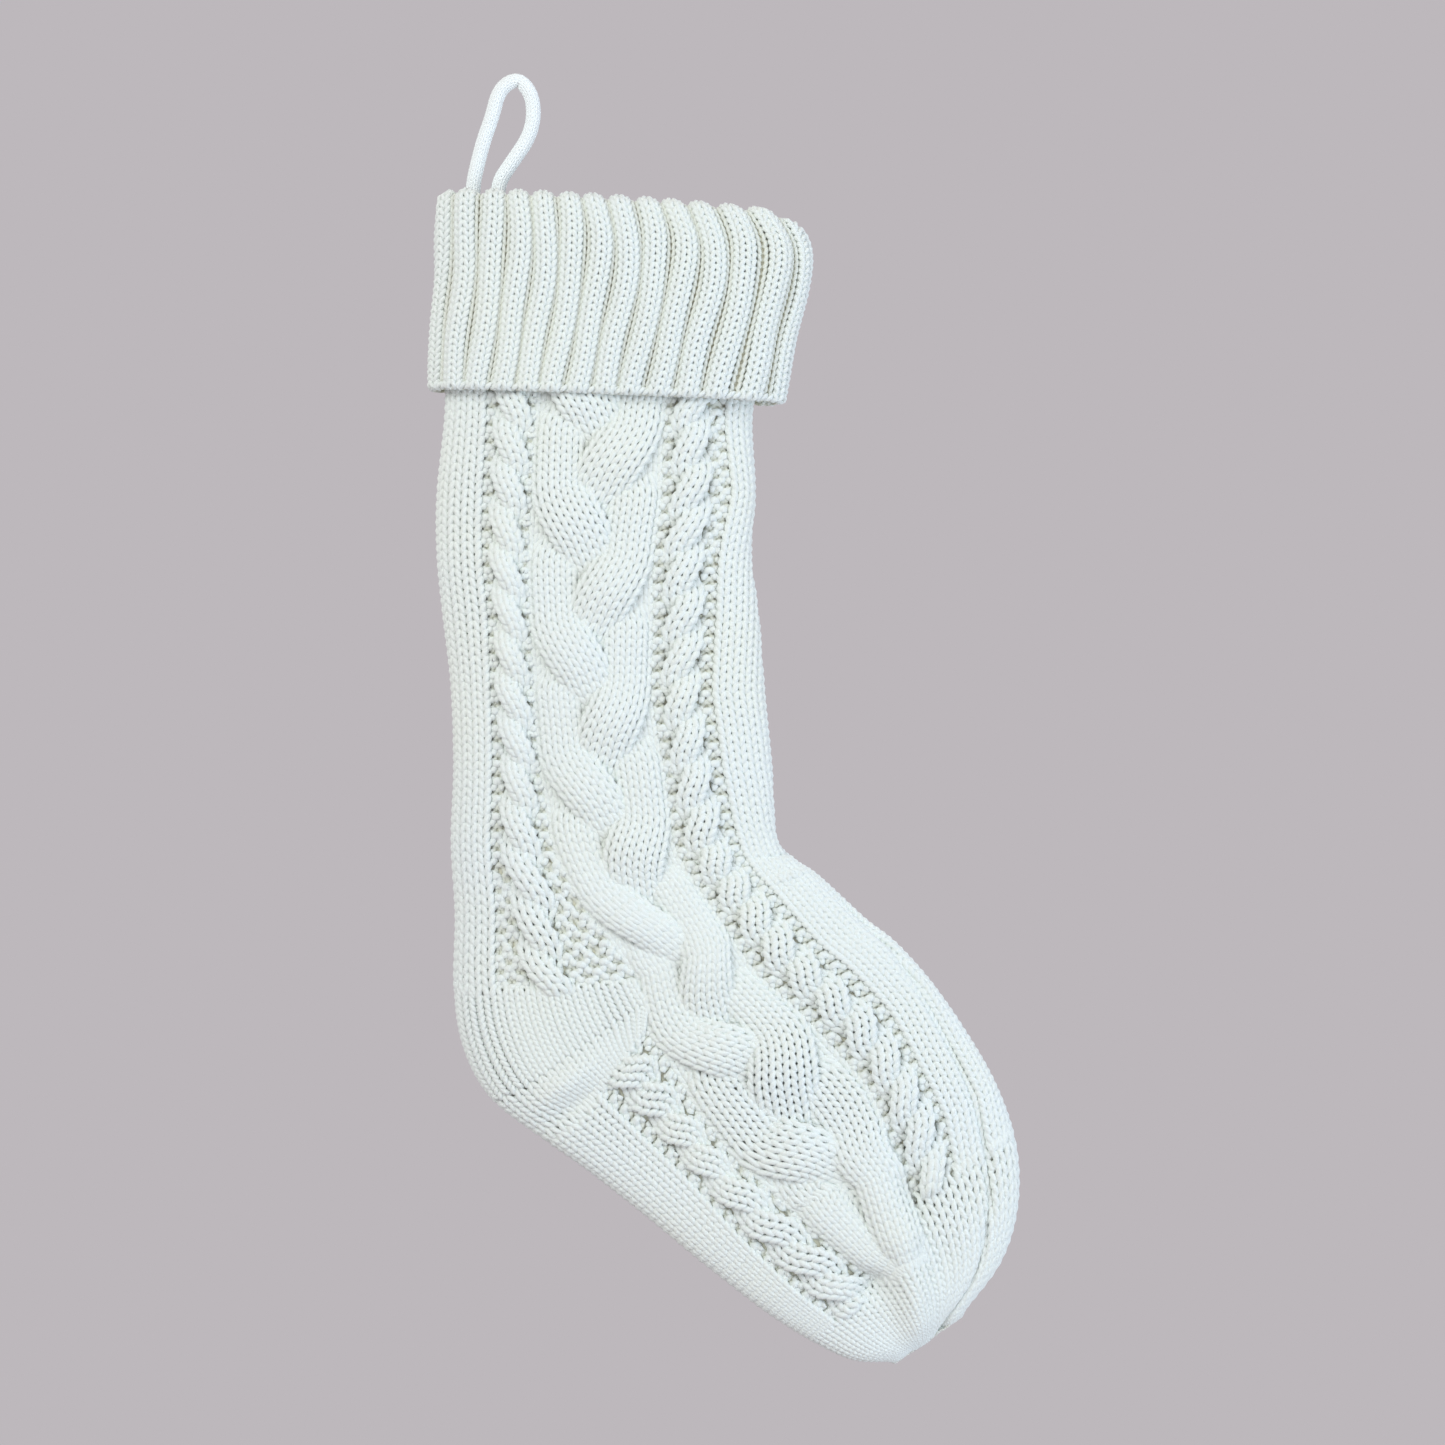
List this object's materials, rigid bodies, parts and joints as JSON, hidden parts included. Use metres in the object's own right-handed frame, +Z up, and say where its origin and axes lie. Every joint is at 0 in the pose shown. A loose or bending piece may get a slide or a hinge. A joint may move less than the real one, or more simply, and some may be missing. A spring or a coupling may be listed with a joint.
{
  "type": "hanging stocking",
  "caption": "Cable-knit holiday stocking, flat and open at the top, with a ribbed turned-down cuff, a shaped heel and toe, and a knitted cord loop to hang it by.",
  "frame": {"origin": "the point where a hook bears, at the inner top of the hanging loop", "axes": "+Z up when hung, +X from the heel side towards the toe side, -Y the front face"},
  "size_m": [0.2317, 0.043, 0.5014],
  "materials": {
    "cable_knit": "soft matt chunky yarn",
    "plain_knit": "soft matt chunky yarn",
    "rib_knit": "soft matt chunky yarn",
    "loop_cord": "smooth fine-knit cord",
    "seam_yarn": "matt linking yarn"
  },
  "bodies": {
    "loop": {"hanging_loop": "loop_cord"},
    "stocking": {"loop_tails": "loop_cord", "loop_tack_stitches": "seam_yarn", "cuff_turn_down": "rib_knit", "cuff_hem": "rib_knit", "cuff_seam": "seam_yarn", "cuff_inner_layer": "rib_knit", "leg_tube": "cable_knit", "heel_pocket": "plain_knit", "foot_tube": "cable_knit", "toe_cap": "plain_knit", "toe_seam": "seam_yarn", "front_seam": "seam_yarn"}
  },
  "joints": [
    {"name": "loop_fold", "type": "hinge", "parent": "loop", "child": "stocking", "pos_m": [-0.01075, 0, -0.0345], "axis": [1, 0, 0], "range_deg": [-90, 90]}
  ]
}
